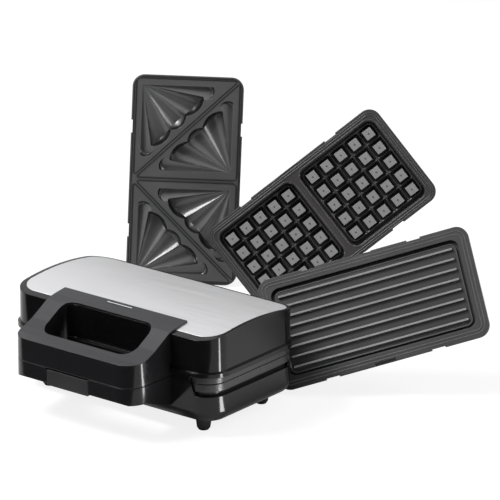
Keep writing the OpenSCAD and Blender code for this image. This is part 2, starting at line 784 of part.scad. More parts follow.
module indicator_lens() color([0.9, 0.9, 0.88]) translate([control_x, lens_y - 1.8, 98]) {
    translate([-16, 0, 0]) cube([32, 3.4, 10]);
    translate([-18, -1.5, 0]) cube([36, 6.4, 3]);
}

module lamp_holder() color([0.15, 0.3, 0.2]) difference() {
    translate([control_x - 23.5, lens_y - 5, lamp_z]) cube([47, 10, 1.6]);
    for (x = [-12, -8, 8, 12]) rod(1, 4, [control_x + x, lens_y, lamp_z - 1]);
    for (s = [-1, 1]) rod(2.6, 4, [control_x + 21 * s, lens_y, lamp_z - 1]);
}

module indicator_lamps() for (i = [0, 1]) color(i == 0 ? [0.8, 0.1, 0.1] : [0.1, 0.7, 0.2])
    rod(5, 6, [control_x - 10 + 20 * i, lens_y, lamp_z + 1.6]);

module upper_frame() color(black) difference() {
    face_down() plate_frame(lid_rim_z - parting_z - 0.6, 9);
    translate([-70, front_y, lid_rim_z + 0.1]) cube([140, 9.5, 20]);
    at_corners(boss_x, boss_y) {
        rod(clear_d, 40, [0, 0, parting_z]);
        rod(6.6, 3.7, [0, 0, parting_z]);
    }
}

module upper_plate() color(coat) face_down() shell_plate();
module upper_catch() color(satin) face_down() catch_slider();
module upper_catch_spring() color(steel) face_down() catch_spring();
module upper_reflector() color(steel) on_upper_tray() reflector_tray();
module upper_element() color([0.35, 0.36, 0.35]) on_upper_tray() element_seat() element_loop();
module upper_element_clips() color(steel) on_upper_tray() element_clips();

module thermostat() color([0.8, 0.78, 0.7]) translate([30, 0, lid_tray + tray_h]) {
    cylinder(d = 22, h = 8);
    translate([-14, -4, 0]) cube([28, 8, 1.2]);
    for (x = [-6, 6]) translate([x - 1.5, -2, 7.9]) cube([3, 4, 4]);
}

// From the thermostat and the element's pins to the left hinge.
module lid_wiring() color([0.7, 0.7, 0.68]) {
    z = lid_tray + 19.5;
    lead([[24, 3.6, z], [24, end_y, z], [end_x + 3.2, end_y, z]]);
    lead([[36, 3.6, z], [36, 24, z], [-66, 24, z], [-66, 60, z]]);
    lead([[end_x + 3.2, -end_y, z], [-56, -end_y, z + 5], [-56, 36, z + 5], [-60, 60, z]]);
}

// Ears on the back of the lid that turn on the hinge pins.
module hinge_ears() color(black) for (s = [-1, 1]) translate([s * hinge_x, 0, 0])
    difference() {
        union() {
            translate([-post_w / 2, -front_y, hinge_z - 13]) cube([post_w, 3, 26]);
            translate([-3.8, -front_y, hinge_z - 5]) cube([7.6, hinge_y + front_y, 10]);
            rod(10, 7.6, [-3.8, hinge_y, hinge_z], [0, 90, 0]);
        }
        rod(hinge_pin_d + 0.1, post_w, [-post_w / 2, hinge_y, hinge_z], [0, 90, 0]);
        for (z = ear_screw_z) rod(pilot_d, 10, [0, -front_y - 1, z], [-90, 0, 0]);
    }

module lid_screws() color(steel) {
    at_corners(boss_x, boss_y) translate([0, 0, parting_z + 3.7]) screw(24);
    for (s = [-1, 1], z = upper_screw_z) translate([s * screw_x, front_y + wall, z])
        rotate([90, 0, 0]) screw(13);
    for (s = [-1, 1], z = ear_screw_z) translate([s * hinge_x, -front_y - wall, z])
        rotate([-90, 0, 0]) screw(5.4);
}

lower_housing();
lower_handle();
rubber_feet();
lower_frame();
lower_reflector();
lower_element();
lower_element_clips();
lower_plate();
lower_catch();
lower_catch_spring();
terminal_block();
thermal_fuse();
base_wiring();
cord_inlet();
hinge_posts();
hinge_pins();
base_screws();
latch();
latch_pin();
latch_spring();
upper_housing();
top_panel();
upper_handle();
indicator_lens();
indicator_lamps();
lamp_holder();
upper_frame();
upper_reflector();
upper_element();
upper_element_clips();
upper_plate();
upper_catch();
upper_catch_spring();
thermostat();
lid_wiring();
hinge_ears();
lid_screws();
sandwich_plate();
waffle_plate();
grill_plate();
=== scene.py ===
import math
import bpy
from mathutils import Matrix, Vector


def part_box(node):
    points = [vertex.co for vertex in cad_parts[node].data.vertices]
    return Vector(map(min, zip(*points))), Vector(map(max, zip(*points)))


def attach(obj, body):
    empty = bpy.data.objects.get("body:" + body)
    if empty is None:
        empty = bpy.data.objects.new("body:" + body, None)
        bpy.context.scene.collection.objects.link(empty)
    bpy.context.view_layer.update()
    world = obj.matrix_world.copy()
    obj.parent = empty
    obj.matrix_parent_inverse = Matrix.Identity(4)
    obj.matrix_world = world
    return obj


bl_info = {
    "name": "Sandwich Maker Dresser",
    "version": (1, 0, 0),
    "blender": (4, 5, 0),
    "location": "View3D > Sidebar > Sandwich Maker",
    "description": "Finishes a hinged sandwich maker and its loose cooking plates",
    "category": "Object",
}

from collections import namedtuple

import bpy
from bpy.props import FloatProperty, FloatVectorProperty, PointerProperty
from bpy.types import Operator, Panel, PropertyGroup
from mathutils import Matrix, Vector

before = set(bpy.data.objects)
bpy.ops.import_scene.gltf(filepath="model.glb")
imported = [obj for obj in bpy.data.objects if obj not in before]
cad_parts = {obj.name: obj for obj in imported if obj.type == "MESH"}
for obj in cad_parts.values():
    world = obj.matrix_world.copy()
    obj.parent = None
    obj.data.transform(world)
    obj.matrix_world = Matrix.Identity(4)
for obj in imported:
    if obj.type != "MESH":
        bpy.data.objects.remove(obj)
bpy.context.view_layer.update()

MM = 0.001
GRAIN = 0.1 * MM  # relief of a fine grain in a surface

# Where the loose plates stand, in millimetres and degrees.
STANDS = {
    "sandwich_plate": dict(x=-189.5, y=281.5, turn=39, lean=12, roll=87.6),
    "waffle_plate": dict(x=-13.5, y=292, turn=39, lean=12, roll=37.7),
    "grill_plate": dict(x=158, y=153.5, turn=22.5, lean=33, roll=21.4),
}

# The waffle plate: two cells of studs, either side of a web, each stud field with a
# moat round it. The studs' tops lie a little under the flange, the floors deeper.
WAFFLE_FLANGE, WAFFLE_WEB, WAFFLE_MOAT = 9.5 * MM, 9 * MM, 3.5 * MM
WAFFLE_STUDS = 5
WAFFLE_TOP, WAFFLE_FLOOR = -0.5 * MM, -8.5 * MM

# The grill plate: ribs along a bed inside a broad flange.
GRILL_FLANGE = 16 * MM
GRILL_RIBS = 8

# Factors on the coating's colour, and what low places keep of a tint as painted shade.
# The beads' factor is a painted shade, the crests' a painted highlight.
SHELL_TINT, BEAD_PAINTED_SHADE_TINT, RIDGE_TINT, CREST_PAINTED_HIGHLIGHT_TINT, GRILL_TINT = 2.2, 0.1, 1.6, 6.5, 0.68
WAFFLE_TINT = (1.5, 1.4, 1.39)
PAINTED_LOW_SHADE = 0.45

# The steepness at which the painted shade of walls sets in and is full.
SLOPING, STEEP = 0.22, 0.5

# Where a plate's raised tops have a painted tone of their own, a painted highlight or
# painted shade: its fields, either side of its web, the height that the tops lie above,
# and the tone they take.
Field = namedtuple("Field", "half_web half_width half_depth lowest shade")


# ---- what a user may change ------------------------------------------------

def length(name, description, millimetres):
    return FloatProperty(name=name, description=description, min=0.0,
                         default=millimetres * MM, unit="LENGTH", subtype="DISTANCE",
                         precision=5)


def colour(name, description, value):
    return FloatVectorProperty(name=name, description=description, default=value,
                               subtype="COLOR", size=3, min=0.0, max=1.0)


def angle(name, description, degrees):
    return FloatProperty(name=name, description=description,
                         default=math.radians(degrees), unit="ROTATION", subtype="ANGLE")


class MakerSizes(PropertyGroup):
    """Sizes that the pieces are worked out from."""
    plate_length: length("Plate length", "Length of a cooking plate", 222)
    plate_width: length("Plate width", "Width of a cooking plate", 118)
    plate_thickness: length("Plate thickness", "Height of a plate under its cells", 12)
    plate_corner: length("Plate corner", "Corner radius of a cooking plate", 13)
    moulding_edge: length("Moulding edge", "Softness of the mouldings' edges", 0.9)
    casting_edge: length("Casting edge", "Softness of the plates' edges", 0.7)


class MakerColours(PropertyGroup):
    """Colours of the finishes."""
    housing: colour("Housing", "Polished black plastic", (0.004, 0.004, 0.0045))
    handle: colour("Handle", "Satin black plastic", (0.010, 0.010, 0.011))
    band: colour("Bands", "Plastic of the plates' frames", (0.022, 0.022, 0.023))
    latch: colour("Latch", "Plastic of latch and catches", (0.018, 0.018, 0.019))
    panel: colour("Panel", "Satin metal of the top panel", (0.64, 0.64, 0.65))
    coating: colour("Coating", "Non-stick coating of the plates", (0.045, 0.045, 0.046))
    rubber: colour("Rubber", "Rubber of the feet", (0.020, 0.020, 0.020))
    lens: colour("Lens", "Milky indicator lens", (0.80, 0.80, 0.80))
    steel: colour("Steel", "Pins, screws and springs", (0.55, 0.55, 0.56))
    sheet: colour("Sheet", "Reflector sheet", (0.72, 0.72, 0.73))
    ceramic: colour("Ceramic", "Terminals, fuse and thermostat", (0.78, 0.74, 0.64))
    laminate: colour("Laminate", "Board of the lamps", (0.03, 0.16, 0.07))
    lamp: colour("Lamps", "Glass of the lamps", (0.55, 0.06, 0.04))
    sleeve: colour("Sleeves", "Glass sleeves of the wiring", (0.62, 0.61, 0.56))


class MakerView(PropertyGroup):
    """Where the camera stands."""
    turn: angle("Turn", "Camera's turn about the vertical", 38.4)
    rise: angle("Rise", "Camera's height above the horizon", 19.3)
    distance: length("Distance", "Camera to the point that it looks at", 5200)
    lens: FloatProperty(name="Lens", description="Focal length for a 36 mm sensor",
                        default=373.0, min=20.0)
    aim_right: length("Aim right", "View centre to the right of the housing", 95.6)
    aim_up: length("Aim up", "View centre above the housing", 95.2)
    aim_height: length("Aim height", "Height of the housing's middle", 52)


# ---- materials ---------------------------------------------------------------

class Finish:
    """A material and short calls that wire its nodes."""

    def __init__(self, name):
        self.material = bpy.data.materials.new(name)
        self.material.use_nodes = True
        self.nodes = self.material.node_tree.nodes
        self.links = self.material.node_tree.links
        self.shader = self.nodes["Principled BSDF"]
        self.place = self.node("ShaderNodeTexCoord").outputs["Object"]

    def node(self, kind, **settings):
        made = self.nodes.new(kind)
        for key, value in settings.items():
            setattr(made, key, value)
        return made

    def link(self, source, target):
        self.links.new(source, target)

    def drawn_at(self, place):
        """Work in a piece's own drawing from here on, by undoing its place."""
        mapping = self.node("ShaderNodeMapping", vector_type="TEXTURE")
        mapping.inputs["Location"].default_value = place.to_translation()
        mapping.inputs["Rotation"].default_value = place.to_euler()
        self.link(self.place, mapping.inputs["Vector"])
        self.place = mapping.outputs["Vector"]

    def part_of(self, vector, letter):
        """One coordinate of a vector."""
        split = self.node("ShaderNodeSeparateXYZ")
        self.link(vector, split.inputs[0])
        return split.outputs[letter]

    def steepness(self, place):
        """0 on faces level in a piece's own drawing, 1 on upright ones."""
        normal = self.node("ShaderNodeTexCoord").outputs["Normal"]
        turned = self.node("ShaderNodeMapping", vector_type="TEXTURE")
        turned.inputs["Rotation"].default_value = place.to_euler()
        self.link(normal, turned.inputs["Vector"])
        level = self.maths("ABSOLUTE", self.part_of(turned.outputs["Vector"], "Z"))
        return self.maths("SUBTRACT", 1.0, level)

    def scaled(self, scale):
        mapping = self.node("ShaderNodeMapping")
        mapping.inputs["Scale"].default_value = scale
        self.link(self.place, mapping.inputs["Vector"])
        return mapping.outputs["Vector"]

    def noise(self, scale, detail=2.0, stretch=(1, 1, 1)):
        """Noise with about scale waves to the metre."""
        made = self.node("ShaderNodeTexNoise")
        made.inputs["Scale"].default_value = scale
        made.inputs["Detail"].default_value = detail
        self.link(self.scaled(stretch), made.inputs["Vector"])
        return made.outputs["Fac"]

    def spread(self, source, low, high, start=0.3, end=0.7):
        """Map a source that runs from start to end onto low to high."""
        made = self.node("ShaderNodeMapRange")
        made.inputs["From Min"].default_value = start
        made.inputs["From Max"].default_value = end
        made.inputs["To Min"].default_value = low
        made.inputs["To Max"].default_value = high
        self.link(source, made.inputs["Value"])
        return made.outputs["Result"]

    def maths(self, operation, a, b=0.0):
        made = self.node("ShaderNodeMath", operation=operation)
        for socket, value in zip(made.inputs, (a, b)):
            if isinstance(value, (int, float)):
                socket.default_value = value
            else:
                self.link(value, socket)
        return made.outputs[0]

    def within(self, source, half):
        """1 where the source lies between -half and half."""
        return self.maths("LESS_THAN", self.maths("ABSOLUTE", source), half)

    def mixed_colour(self, fac, dark, light):
        """The first colour where fac is 0 and the second where it is 1."""
        made = self.node("ShaderNodeMix", data_type="RGBA")
        for socket, value in (("A", dark), ("B", light)):
            if isinstance(value, bpy.types.NodeSocket):
                self.link(value, made.inputs[socket])
            else:
                made.inputs[socket].default_value = (*value, 1)
        self.link(fac, made.inputs["Factor"])
        return made.outputs["Result"]

    def soft_edges(self, radius):
        """Normals that round a mesh's sharp edges."""
        made = self.node("ShaderNodeBevel", samples=6)
        made.inputs["Radius"].default_value = radius
        return made.outputs["Normal"]

    def bump(self, height, strength, distance, normal=None):
        made = self.node("ShaderNodeBump")
        made.inputs["Strength"].default_value = strength
        made.inputs["Distance"].default_value = distance
        self.link(height, made.inputs["Height"])
        if normal is not None:
            self.link(normal, made.inputs["Normal"])
        return made.outputs["Normal"]

    def set(self, **values):
        """Set or link the shader's inputs and return the material."""
        names = {"colour": "Base Color", "roughness": "Roughness", "metallic": "Metallic",
                 "specular": "Specular IOR Level", "subsurface": "Subsurface Weight",
                 "normal": "Normal"}
        for key, value in values.items():
            socket = self.shader.inputs[names[key]]
            if isinstance(value, bpy.types.NodeSocket):
                self.link(value, socket)
            elif key == "colour":
                socket.default_value = (*value, 1)
            else:
                socket.default_value = value
        return self.material


def lighter(tint, factor):
    """A tint times a factor, at most white."""
    return tuple(min(1.0, c * factor) for c in tint)


def polished_plastic(name, tint, edge):
    """Glossy black moulding with faint flow marks and a few dull patches."""
    finish = Finish(name)
    flow = finish.noise(14, 3)
    tone = finish.mixed_colour(flow, lighter(tint, 0.8), lighter(tint, 1.3))
    gloss = finish.spread(finish.noise(35, 4), 0.10, 0.17)
    waves = finish.bump(finish.noise(30, 1), 0.05, 4 * GRAIN, finish.soft_edges(edge))
    return finish.set(colour=tone, roughness=gloss, normal=waves, specular=0.3)


def satin_topped_painted_sheen_plastic(name, tint, edge):
    """Black moulding: satin where it faces up, polished on its walls, with a painted
    sheen that makes the up-facing faces lighter.
    """
    finish = Finish(name)
    facing = finish.node("ShaderNodeTexCoord").outputs["Normal"]
    top = finish.spread(finish.part_of(facing, "Z"), 0.0, 1.0, 0.35, 0.7)
    grain = finish.noise(2200, 1)
    # Up-facing faces are painted lighter: a painted sheen, not a colour of the plastic.
    tone = finish.mixed_colour(top, tint, lighter(tint, 2.6))
    dull = finish.maths("ADD", finish.maths("MULTIPLY", top, 0.24),
                        finish.spread(finish.noise(40, 3), 0.12, 0.18))
    pitted = finish.bump(finish.maths("MULTIPLY", grain, top), 0.25, GRAIN,
                         finish.soft_edges(edge))
    return finish.set(colour=tone, roughness=dull, normal=pitted, specular=0.3)


def satin_plastic(name, tint, edge, roughness):
    """Fine-grained matt moulding."""
    finish = Finish(name)
    cloud = finish.noise(60, 3)
    tone = finish.mixed_colour(cloud, lighter(tint, 0.85), lighter(tint, 1.2))
    dull = finish.spread(finish.noise(90, 2), roughness - 0.05, roughness + 0.05)
    grain = finish.bump(finish.noise(2600, 1), 0.3, GRAIN, finish.soft_edges(edge))
    return finish.set(colour=tone, roughness=dull, normal=grain, specular=0.4)


def satin_metal(name, tint, edge):
    """Metal sheet with a fine brushed grain along its length."""
    finish = Finish(name)
    lines = finish.noise(220, 3, (0.06, 1, 1))
    cloud = finish.noise(9, 2)
    tone = finish.mixed_colour(cloud, lighter(tint, 0.94), tint)
    dull = finish.spread(lines, 0.44, 0.52)
    grain = finish.bump(lines, 0.08, GRAIN, finish.soft_edges(edge))
    return finish.set(colour=tone, roughness=dull, normal=grain, metallic=0.6)


def plain_metal(name, tint, roughness, edge=0.2 * MM):
    """Turned or drawn metal with fine scratches."""
    finish = Finish(name)
    scratches = finish.noise(700, 4)
    tone = finish.mixed_colour(scratches, lighter(tint, 0.85), lighter(tint, 1.1))
    dull = finish.spread(scratches, roughness - 0.06, roughness + 0.06)
    grain = finish.bump(scratches, 0.1, GRAIN, finish.soft_edges(edge))
    return finish.set(colour=tone, roughness=dull, normal=grain, metallic=1.0)


def cast_coating(name, tint, edge, place=None, field=None, polish=0.30, painted_wall_shade=0.25,
                 deepest=-14 * MM):
    """Non-stick coating on cast aluminium: dark, satin and slightly speckled.

    Given a plate's place, low parts are painted darker towards the deepest height in its
    own drawing, a painted shade; raised tops in its field take the field's shade, a
    painted highlight or painted shade; and steep walls keep the given share of the tint,
    a painted shade."""
    finish = Finish(name)
    speckle = finish.noise(1500, 3)
    cloud = finish.noise(25, 2)
    tone = finish.mixed_colour(finish.maths("MULTIPLY", speckle, cloud),
                               lighter(tint, 0.8), lighter(tint, 1.4))
    if place is not None:
        finish.drawn_at(place)
        height = finish.part_of(finish.place, "Z")
        # Painted shade for hollows: the lower the coating lies, the darker it is painted.
        depth = finish.spread(height, 0.0, 1.0, deepest, -1 * MM)
        tone = finish.mixed_colour(depth, lighter(tint, PAINTED_LOW_SHADE), tone)
        # Raised tops take a painted highlight or a painted shade.
        if field:
            tone = finish.mixed_colour(tops_of(finish, height, field), tone,
                                       (field.shade,) * 3)
        # Painted shade on steep walls, which draws the pockets' outlines dark.
        upright = finish.spread(finish.steepness(place), 0.0, 1.0, SLOPING, STEEP)
        tone = finish.mixed_colour(upright, tone, lighter(tint, painted_wall_shade))
    dull = finish.spread(cloud, polish, polish + 0.07)
    pitted = finish.bump(speckle, 0.2, GRAIN, finish.soft_edges(edge))
    return finish.set(colour=tone, roughness=dull, normal=pitted, specular=0.5)


def tops_of(finish, height, field):
    """1 on the raised tops in a plate's fields, 0 elsewhere."""
    across, along = (finish.part_of(finish.place, letter) for letter in "XY")
    on_web = finish.within(across, field.half_web)
    top = finish.maths("GREATER_THAN", height, field.lowest)
    for mask in (finish.maths("SUBTRACT", 1.0, on_web),
                 finish.within(across, field.half_width),
                 finish.within(along, field.half_depth)):
        top = finish.maths("MULTIPLY", top, mask)
    return top


def rubber(name, tint):
    """Dull rubber with a dusty bloom."""
    finish = Finish(name)
    bloom = finish.noise(120, 5)
    tone = finish.mixed_colour(bloom, tint, lighter(tint, 1.9))
    grain = finish.bump(finish.noise(1800, 2), 0.3, GRAIN, finish.soft_edges(0.5 * MM))
    return finish.set(colour=tone, roughness=0.72, normal=grain, specular=0.3)


def milky_plastic(name, tint, middle, band):
    """Cloudy plastic of the indicator lens, with a painted shadow that makes it black
    where it passes under the cover.
    """
    finish = Finish(name)
    cloud = finish.noise(150, 2)
    tone = finish.mixed_colour(cloud, lighter(tint, 0.9), tint)
    # Painted shadow: the lens's front half, in the slot, is painted black.
    lit = finish.spread(finish.part_of(finish.place, "Y"), 0.0, 1.0,
                        middle - band / 2, middle + band / 2)
    tone = finish.mixed_colour(lit, lighter(tint, 0.02), tone)
    return finish.set(colour=tone, roughness=0.3, subsurface=0.2,
                      normal=finish.soft_edges(0.4 * MM))


def mottled(name, tint, roughness, scale):
    """Ceramic, laminate or woven sleeve of the inner parts."""
    finish = Finish(name)
    marks = finish.noise(scale, 4)
    tone = finish.mixed_colour(marks, lighter(tint, 0.75), lighter(tint, 1.15))
    grain = finish.bump(marks, 0.4, 2 * GRAIN)
    return finish.set(colour=tone, roughness=roughness, normal=grain)


# ---- helpers for pieces --------------------------------------------------------

def dress(material, *node_names):
    """Give CAD nodes a material."""
    for name in node_names:
        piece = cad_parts[name]
        piece.data.materials.clear()
        piece.data.materials.append(material)


def nothing_selected():
    if bpy.context.object and bpy.context.object.mode != "OBJECT":
        bpy.ops.object.mode_set(mode="OBJECT")
    bpy.ops.object.select_all(action="DESELECT")


def only(obj):
    """Select obj alone and make it active."""
    nothing_selected()
    obj.select_set(True)
    bpy.context.view_layer.objects.active = obj


def joined(parts, name):
    """Join meshes into one object with its place in its mesh."""
    nothing_selected()
    for part in parts:
        part.select_set(True)
    bpy.context.view_layer.objects.active = parts[0]
    bpy.ops.object.transform_apply(location=True, rotation=True, scale=True)
    bpy.ops.object.join()
    whole = bpy.context.object
    whole.name = name
    return whole


def finished(obj, body, material):
    """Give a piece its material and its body."""
    obj.data.materials.clear()
    obj.data.materials.append(material)
    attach(obj, body)


def flat_outline(centre, width, depth, radius, cut=None):
    """A rectangle's outline with round corners. Cut is the point and normal of a
    line behind which it is cut away first, so that a triangle is left."""
    nothing_selected()
    bpy.ops.mesh.primitive_plane_add(size=1, location=(centre[0], centre[1], 0))
    outline = bpy.context.object
    outline.scale = (width, depth, 1)
    bpy.ops.object.transform_apply(location=True, rotation=True, scale=True)
    bpy.ops.object.mode_set(mode="EDIT")
    bpy.ops.mesh.select_all(action="SELECT")
    if cut:
        bpy.ops.mesh.bisect(plane_co=cut[0], plane_no=cut[1], clear_inner=True)
        bpy.ops.mesh.select_all(action="SELECT")
    bpy.ops.mesh.bevel(offset=radius, segments=8, affect="VERTICES")
    bpy.ops.mesh.select_all(action="SELECT")
    bpy.ops.mesh.delete(type="ONLY_FACE")
    bpy.ops.object.mode_set(mode="OBJECT")
    return outline


def bead_along(outline, radius, height=0.0):
    """Turn an outline into a round bead whose axis lies at the given height."""
    only(outline)
    outline.location.z = height
    bpy.ops.object.transform_apply(location=True, rotation=False, scale=False)
    bpy.ops.object.convert(target="CURVE")
    outline.data.bevel_depth = radius
    outline.data.bevel_resolution = 2
    bpy.ops.object.convert(target="MESH")
    bpy.ops.object.shade_smooth()
    return bpy.context.object


def rim_beads(sizes, *beads):
    """Beads along a plate's outline, each given by its inset and its radius."""
    parts = []
    for inset, radius in beads:
        rim = flat_outline((0, 0), sizes.plate_length - 2 * inset,
                           sizes.plate_width - 2 * inset, sizes.plate_corner - inset)
        parts.append(bead_along(rim, radius))
    return parts


# ---- places of the cooking plates ------------------------------------------------

def standing(sizes, x, y, turn, lean, roll):
    """Place of a loose plate that leans back on its lowest corner."""
    turn, lean, roll = (math.radians(a) for a in (turn, lean, roll))
    r = sizes.plate_corner
    half_l, half_w = sizes.plate_length / 2 - r, sizes.plate_width / 2 - r
    height = sizes.plate_thickness * math.sin(lean) + math.cos(lean) * (
        r + half_l * abs(math.sin(roll)) + half_w * abs(math.cos(roll)))
    return (Matrix.Translation((x * MM, y * MM, height))
            @ Matrix.Rotation(turn, 4, "Z")
            @ Matrix.Rotation(math.pi / 2 - lean, 4, "X")
            @ Matrix.Rotation(roll, 4, "Z"))


def plate_places(sizes):
    """Matrix from a plate's own drawing, cooking face up at z = 0, to its place."""
    lower_face = Matrix.Translation((0, 0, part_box("lower_plate")[1].z))
    upper_face = Matrix.Translation((0, 0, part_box("upper_plate")[0].z))
    loose = {name: standing(sizes, **stand) for name, stand in STANDS.items()}
    return {"lower_plate": lower_face,
            "upper_plate": upper_face @ Matrix.Diagonal((1, 1, -1, 1)), **loose}


def put(obj, place):
    """Move a piece's mesh to its place; turn its faces out again if mirrored."""
    obj.data.transform(place)
    if place.determinant() < 0:
        obj.data.flip_normals()
    obj.data.update()


def copied(obj, name):
    """A copy of a piece with a mesh of its own."""
    other = obj.copy()
    other.data = obj.data.copy()
    other.name = name
    bpy.context.scene.collection.objects.link(other)
    return other


# ---- operators -------------------------------------------------------------------

class MAKER_OT_housings(Operator):
    """Finish both housings, the hinge parts and the cord inlet in polished black"""
    bl_idname = "maker.housings"
    bl_label = "Housings"

    def execute(self, context):
        sizes, tints = context.scene.maker_sizes, context.scene.maker_colours
        black = polished_plastic("polished_black", tints.housing, sizes.moulding_edge)
        dress(black, "lower_housing", "upper_housing", "hinge_posts", "hinge_ears",
              "cord_inlet")
        return {"FINISHED"}


class MAKER_OT_handles(Operator):
    """Finish the two halves of the handle"""
    bl_idname = "maker.handles"
    bl_label = "Handle halves"

    def execute(self, context):
        sizes, tints = context.scene.maker_sizes, context.scene.maker_colours
        satin = satin_topped_painted_sheen_plastic("handle_black", tints.handle, sizes.moulding_edge)
        dress(satin, "lower_handle", "upper_handle")
        return {"FINISHED"}


class MAKER_OT_bands(Operator):
    """Finish the frames that carry the plates, the latch and the catches"""
    bl_idname = "maker.bands"
    bl_label = "Frames, latch and catches"

    def execute(self, context):
        sizes, tints = context.scene.maker_sizes, context.scene.maker_colours
        edge = sizes.moulding_edge
        dress(satin_plastic("band_black", tints.band, edge, roughness=0.3),
              "lower_frame", "upper_frame")
        dress(satin_plastic("latch_grey", tints.latch, edge, roughness=0.38),
              "latch", "lower_catch", "upper_catch")
        return {"FINISHED"}


class MAKER_OT_top(Operator):
    """Finish the metal panel and the indicator lens"""
    bl_idname = "maker.top"
    bl_label = "Panel and lens"

    def execute(self, context):
        tints = context.scene.maker_colours
        dress(satin_metal("panel_metal", tints.panel, edge=1.4 * MM), "top_panel")
        near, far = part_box("indicator_lens")
        middle = (near.y + far.y) / 2
        dress(milky_plastic("lens_white", tints.lens, middle, band=0.6 * MM),
              "indicator_lens")
        return {"FINISHED"}


class MAKER_OT_plates(Operator):
    """Finish the five cooking plates in a dark non-stick coating"""
    bl_idname = "maker.plates"
    bl_label = "Cooking plates"

    def execute(self, context):
        sizes, tints = context.scene.maker_sizes, context.scene.maker_colours
        edge, coating = sizes.casting_edge, tints.coating
        places = plate_places(sizes)
        # A half turn gives the heights in the lid's plate, whose place is mirrored.
        turned_over = Matrix.Rotation(math.pi, 4, "X")
        turned_over.translation = places["upper_plate"].translation
        places["upper_plate"] = turned_over
        for name in ("lower_plate", "upper_plate", "sandwich_plate"):
            dress(cast_coating(name + "_coating", lighter(coating, SHELL_TINT), edge,
                               places[name], polish=0.17, painted_wall_shade=0.06,
                               deepest=-50 * MM), name)
        # Near black: a painted shade that draws the cells' outlines as dark lines.
        cast_coating("bead_painted_shade", lighter(coating, BEAD_PAINTED_SHADE_TINT), edge, polish=0.5)
        cast_coating("ridge_coating", lighter(coating, RIDGE_TINT), edge)
        # Far lighter: a painted highlight along the grill's ribs.
        cast_coating("crest_painted_highlight", lighter(coating, CREST_PAINTED_HIGHLIGHT_TINT), edge)
        self.dress_waffle(sizes, coating, edge, places["waffle_plate"])
        self.dress_grill(sizes, coating, edge, places["grill_plate"])
        return {"FINISHED"}

    def dress_waffle(self, sizes, coating, edge, place):
        """A warmer coating, with a painted highlight that makes the studs' tops light.
        The fields end in the moats.
        """
        warm = tuple(c * factor for c, factor in zip(coating, WAFFLE_TINT))
        # The studs' tops are painted light: a painted highlight.
        studs = Field(half_web=6 * MM, half_width=sizes.plate_length / 2 - 12 * MM,
                      half_depth=sizes.plate_width / 2 - 12 * MM, lowest=-1 * MM,
                      shade=0.30)
        dress(cast_coating("waffle_coating", warm, edge, place, studs, painted_wall_shade=0.12),
              "waffle_plate")

    def dress_grill(self, sizes, coating, edge, place):
        """A darker coating, with a painted shade that makes the ribs' tops darkest. The
        field is the bed.
        """
        # The ribs' tops are painted near black: a painted shade beside the crests.
        ribs = Field(half_web=0.0, half_width=sizes.plate_length / 2 - GRILL_FLANGE,
                     half_depth=sizes.plate_width / 2 - GRILL_FLANGE, lowest=-0.8 * MM,
                     shade=0.012)
        dress(cast_coating("grill_coating", lighter(coating, GRILL_TINT), edge, place,
                           ribs, painted_wall_shade=0.1), "grill_plate")


class MAKER_OT_shell_beads(Operator):
    """Lay the sealing beads round the triangular cells of the sandwich plates"""
    bl_idname = "maker.shell_beads"
    bl_label = "Beads of the sandwich plates"

    def execute(self, context):
        sizes = context.scene.maker_sizes
        places = plate_places(sizes)
        # The beads' coating is a painted shade, near black.
        coat = bpy.data.materials["bead_painted_shade"]
        for radius, names in ((0.34 * MM, ("lower_plate", "upper_plate")),
                              (0.75 * MM, ("sandwich_plate",))):
            beads = self.beads(sizes, radius)
            for name in names:
                piece = copied(beads, name + "_beads")
                put(piece, places[name])
                body = {"lower_plate": "base", "upper_plate": "lid"}.get(name, name)
                finished(piece, body, coat)
            bpy.data.objects.remove(beads)
        return {"FINISHED"}

    def beads(self, sizes, radius):
        """Four rounded triangles and the outline round them, in the plate's drawing."""
        end, side_edge, web, gap, corner = (v * MM for v in (3.2, 4.2, 1.6, 1.4, 4.5))
        width = sizes.plate_length / 2 - end - web
        depth = sizes.plate_width - 2 * side_edge
        parts = []
        for side in (-1, 1):
            x = side * (web + width / 2)
            for half in (-1, 1):
                normal = Vector((side * depth, width, 0)).normalized() * half
                start = Vector((x, 0, 0)) + normal * gap
                outline = flat_outline((x, 0), width, depth, corner, (start, normal))
                parts.append(bead_along(outline, radius))
        rim_end, rim_side = 1.5 * MM, 2 * MM
        rim = flat_outline((0, 0), sizes.plate_length - 2 * rim_end,
                           sizes.plate_width - 2 * rim_side,
                           sizes.plate_corner - rim_side)
        parts.append(bead_along(rim, radius * 0.7))
        return joined(parts, "shell_beads")


